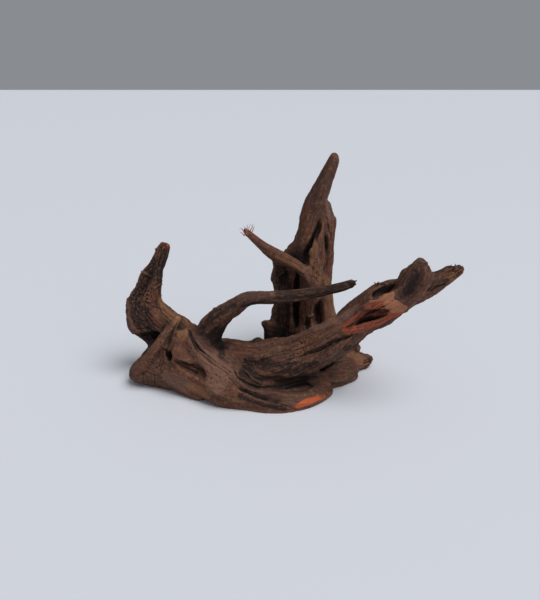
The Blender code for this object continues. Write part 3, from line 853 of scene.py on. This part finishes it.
# Painted shade with some dirt in hollows and under the wood, where wood further off shuts out the light and
# where faces look down.
tone = weathered.mixed(shelter_shade_and_dirt.above(0.1, 0.55) * 0.8, tone, DIRT_AND_SHADE)
height = hairs * 0.5 + streaks * 0.4 + grit * 0.25 + pores.above(0.28, 0.45) * 0.5
bump = {"Strength": BUMP_STRENGTH, "Distance": BUMP_DEPTH, "Height": height}
weathered.fill(
    weathered.surface,
    {
        "Base Color": tone,
        "Roughness": DULLNESS + DULLNESS_CHANGE * streaks,
        "Specular IOR Level": SHEEN,
        "Normal": weathered.node("ShaderNodeBump", {}, bump),
    },
)
skin.materials.clear()
skin.materials.append(weathered.material)

# The loose ends: where a limb broke off, its fibres stand out as short splinters, and the tip of
# the twig is frayed into fine reddish strands. They are the same wood, sunk into it by their roots.
STRAND_SIDES = 5
ROOT = 1.2 * MM
FRAYED = [
    [(245.5, 235), (243.5, 231), (241.5, 228.5), (240, 228.5), (239.5, 230)],
    [(246.5, 235), (246, 231), (245, 227.5), (243.5, 226)],
    [(247.5, 235), (247.5, 230), (247, 226.5), (247.5, 224.5)],
    [(248, 235), (248.8, 231), (248.8, 228), (250, 225)],
    [(249, 235), (250.5, 230), (252.5, 227), (252, 224.5), (250.2, 224), (249.6, 226)],
    [(250, 235), (252.5, 231), (254, 227.5), (254, 224.5)],
    [(244.5, 236), (242, 233), (240, 232)],
]
FRAYED_THICK = 1.1
FRAYED_DEPTH = 11.8 * MM
SPLINTERED = {
    "prong": ([(448, 267), (455, 266), (461, 268)], 12, (0.1, 0, 1)),
    "knob": ([(419, 261), (426, 264), (432, 273)], 8, (0.5, 0, 1)),
    "shoulder": ([(364, 288), (372, 284), (386, 284)], 9, (-0.2, 0, 1)),
    "fan": ([(371, 356), (370, 362), (366, 369)], 10, (1, -0.3, 0.2)),
    "horn": ([(157, 250), (162, 246), (170, 246)], 9, (0.1, 0, 1)),
    "arch": ([(350, 281), (355, 281), (357, 284)], 6, (1, 0, 0.3)),
}
SPLINTER_LONG = (1.1, 2.3)
SPLINTER_THICK = (1, 1.9)
SPLINTER_SEED = 17
SPLINTER_LEAN = 0.4
FIBRE_RED = colour(120, 60, 52)
FIBRE_PINK = colour(188, 130, 118)
FIBRE_PATCH = 1.5 * MM
FIBRE_DULLNESS = 0.8
SPLINTER_PATCH = 2 * MM
SPLINTER_DULLNESS = 0.85


def around(ring):
    """The edges that join the points of a strand's ring."""
    return list({edge for vert in ring for edge in vert.link_edges if all(v in ring for v in edge.verts)})


def strand(bm, line, thick):
    """A closed strand along the line, thick mm through at its root and tapering to its end."""
    radius = thick / 2 * MM
    ring = bmesh.ops.create_circle(bm, cap_ends=True, segments=STRAND_SIDES, radius=radius)["verts"]
    turn = (line[1] - line[0]).to_track_quat("Z", "Y").to_matrix()
    bmesh.ops.rotate(bm, verts=ring, matrix=turn)
    bmesh.ops.translate(bm, verts=ring, vec=line[0])
    for number, (a, b) in enumerate(zip(line, line[1:])):
        made = bmesh.ops.extrude_edge_only(bm, edges=around(ring))["geom"]
        ring = [part for part in made if isinstance(part, bmesh.types.BMVert)]
        left = 1 - (number + 1) / len(line)
        bmesh.ops.translate(bm, verts=ring, vec=b - a)
        narrower = left / (left + 1 / len(line))
        bmesh.ops.scale(bm, verts=ring, vec=[narrower] * 3, space=Matrix.Translation(-b))
    bmesh.ops.contextual_create(bm, geom=around(ring))


def loose_piece(name, material, lines):
    """One object of many strands, each a line and its thickness in mm, that moves with the wood."""
    bm = bmesh.new()
    for line, thick in lines:
        strand(bm, line, thick)
    for vert in bm.verts:
        vert.co = inside_box(np.array(vert.co))
    bmesh.ops.recalc_face_normals(bm, faces=bm.faces)
    mesh = bpy.data.meshes.new(name)
    bm.to_mesh(mesh)
    bm.free()
    mesh.shade_smooth()
    mesh.materials.append(material)
    piece = bpy.data.objects.new(name, mesh)
    bpy.context.scene.collection.objects.link(piece)
    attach(piece, "root")


def at_depth(x, y):
    """The place that the eye sees at a pixel, at the depth of the twig's tip."""
    line = sight_line(x, y)
    return EYE + line * ((FRAYED_DEPTH - EYE.y) / line.y)


fibre_red = Finish("frayed_fibre")
place = fibre_red.node("ShaderNodeTexCoord", {}, {}, "Object")
reddish = fibre_red.mixed(fibre_red.noise(place, 1 / FIBRE_PATCH).above(0.4, 0.6), FIBRE_RED, FIBRE_PINK)
fibre_red.fill(fibre_red.surface, {"Base Color": reddish, "Roughness": FIBRE_DULLNESS})
strands = [([at_depth(*pixel) for pixel in row], FRAYED_THICK) for row in FRAYED]
loose_piece("twig_fibres", fibre_red.material, strands)

draw = random.Random(SPLINTER_SEED)
splinters = []
for row, number, aim in SPLINTERED.values():
    marks = on_wood([(x, y, 1) for x, y in row])
    for _ in range(number):
        start = draw.choice(marks)[0]
        lean = Vector([draw.uniform(-SPLINTER_LEAN, SPLINTER_LEAN) for _ in range(3)])
        ahead = (Vector(aim) + lean).normalized()
        root = start - ahead * ROOT
        tip = start + ahead * draw.uniform(*SPLINTER_LONG) * MM
        splinters.append(([root, (root + tip) / 2, tip], draw.uniform(*SPLINTER_THICK)))
splinter = Finish("splinter")
place = splinter.node("ShaderNodeTexCoord", {}, {}, "Object")
brownish = splinter.mixed(splinter.noise(place, 1 / SPLINTER_PATCH).above(0.4, 0.6), DEEP_BROWN, BROWN)
splinter.fill(splinter.surface, {"Base Color": brownish, "Roughness": SPLINTER_DULLNESS})
loose_piece("splinters", splinter.material, splinters)


# The floor and the light: the wood stands on a plain pale floor. Most of the light falls softly from
# above and a little from the right, and a weak one from the front keeps the hollows readable.
FLOOR_SIZE = 60
FLOOR_COLOUR = (0.70, 0.72, 0.77, 1)
FLOOR_DULLNESS = 0.7
# Each light: where it comes from, its strength, and how wide its source is, in degrees.
LIGHTS = {"ceiling": ((0.45, -0.2, 1), 2.15, 40), "front": ((0.6, -1, 0.5), 0.3, 60)}
ROOM_COLOUR = (0.90, 0.94, 1, 1)
ROOM_STRENGTH = 0.28

bm = bmesh.new()
bmesh.ops.create_grid(bm, x_segments=1, y_segments=1, size=FLOOR_SIZE / 2)
floor_mesh = bpy.data.meshes.new("floor")
bm.to_mesh(floor_mesh)
bm.free()
plain = Finish("pale_floor")
plain.fill(plain.surface, {"Base Color": FLOOR_COLOUR, "Roughness": FLOOR_DULLNESS})
floor_mesh.materials.append(plain.material)
floor = bpy.data.objects.new("floor", floor_mesh)
bpy.context.scene.collection.objects.link(floor)

for name, (source, strength, width) in LIGHTS.items():
    light = bpy.data.objects.new(name, bpy.data.lights.new(name, "SUN"))
    light.data.energy = strength
    light.data.angle = math.radians(width)
    light.rotation_euler = Vector(source).to_track_quat("Z", "Y").to_euler()
    bpy.context.scene.collection.objects.link(light)
world = bpy.data.worlds.new("room")
bpy.context.scene.world = world
world.use_nodes = True
background = world.node_tree.nodes["Background"]
background.inputs["Color"].default_value = ROOM_COLOUR
background.inputs["Strength"].default_value = ROOM_STRENGTH
bpy.context.scene.view_settings.view_transform = "Standard"
